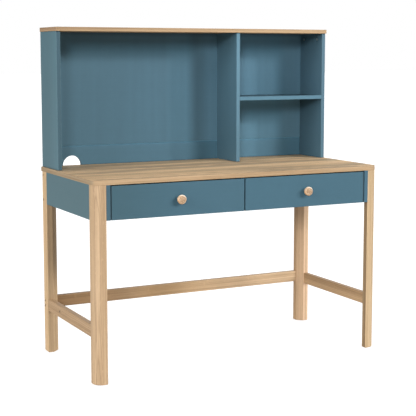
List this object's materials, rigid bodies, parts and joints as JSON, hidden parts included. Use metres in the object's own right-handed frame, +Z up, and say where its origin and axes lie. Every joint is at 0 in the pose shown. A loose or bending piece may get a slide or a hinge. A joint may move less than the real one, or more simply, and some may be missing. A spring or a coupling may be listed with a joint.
{
  "type": "student desk with hutch",
  "caption": "Writing desk on four legs with two side-by-side drawers and a hutch with an open bay, two cubbies and a cable notch.",
  "frame": {"origin": "centre of the overall box at floor level, the knobs included", "axes": "+X to the right seen from the front, +Y to the back, +Z up"},
  "size_m": [1.226, 0.604, 1.3],
  "materials": {
    "oak_veneer": "matt oak-look board with fine streaks along X, golden edge band",
    "oak_solid": "clear matt lacquer on solid pale wood, grain along the piece",
    "knob_wood": "clear satin lacquer on turned wood, end grain on the face",
    "blue_paint": "satin dusty blue paint on board",
    "drawer_wood": "unpainted pale hardwood, sanded",
    "hardboard": "smooth faced hardboard",
    "dowel_beech": "fluted beech dowel",
    "zinc_steel": "zinc-plated",
    "nylon": "moulded, matt"
  },
  "bodies": {
    "desk": {"apron_cam_pins": "zinc_steel", "apron_cams": "zinc_steel", "apron_screws": "zinc_steel", "back_apron": "blue_paint", "back_rail_dowels": "dowel_beech", "back_stretcher": "oak_solid", "barrel_nuts": "zinc_steel", "bracket_screws": "zinc_steel", "case_partition": "blue_paint", "case_screws": "zinc_steel", "case_side_left": "blue_paint", "case_side_right": "blue_paint", "desktop": "oak_veneer", "desktop_brackets": "zinc_steel", "drawer_runners": "drawer_wood", "drawer_stops": "nylon", "foot_glides": "nylon", "hutch_back_panel": "blue_paint", "hutch_back_rail": "blue_paint", "hutch_cam_pins": "zinc_steel", "hutch_cams": "zinc_steel", "hutch_divider": "blue_paint", "hutch_dowels": "dowel_beech", "hutch_screws": "zinc_steel", "hutch_shelf": "blue_paint", "hutch_side_left": "blue_paint", "hutch_side_right": "blue_paint", "hutch_top": "oak_veneer", "leg_bolts": "zinc_steel", "leg_front_left": "oak_solid", "leg_front_right": "oak_solid", "leg_rear_left": "oak_solid", "leg_rear_right": "oak_solid", "runner_screws": "zinc_steel", "shelf_dowels": "dowel_beech", "side_apron_left": "blue_paint", "side_apron_right": "blue_paint", "side_stretcher_left": "oak_solid", "side_stretcher_right": "oak_solid", "stop_screws": "zinc_steel", "stretcher_dowels": "dowel_beech"},
    "left_drawer": {"drawer_left_back": "drawer_wood", "drawer_left_bottom": "hardboard", "drawer_left_dowels": "dowel_beech", "drawer_left_front": "blue_paint", "drawer_left_knob": "knob_wood", "drawer_left_knob_screw": "zinc_steel", "drawer_left_screws": "zinc_steel", "drawer_left_side_inner": "drawer_wood", "drawer_left_side_outer": "drawer_wood"},
    "right_drawer": {"drawer_right_back": "drawer_wood", "drawer_right_bottom": "hardboard", "drawer_right_dowels": "dowel_beech", "drawer_right_front": "blue_paint", "drawer_right_knob": "knob_wood", "drawer_right_knob_screw": "zinc_steel", "drawer_right_screws": "zinc_steel", "drawer_right_side_inner": "drawer_wood", "drawer_right_side_outer": "drawer_wood"}
  },
  "joints": [
    {"name": "left_drawer_slide", "type": "slide", "parent": "desk", "child": "left_drawer", "axis": [0, -1, 0], "range_m": [0, 0.33]},
    {"name": "right_drawer_slide", "type": "slide", "parent": "desk", "child": "right_drawer", "axis": [0, -1, 0], "range_m": [0, 0.33]}
  ]
}
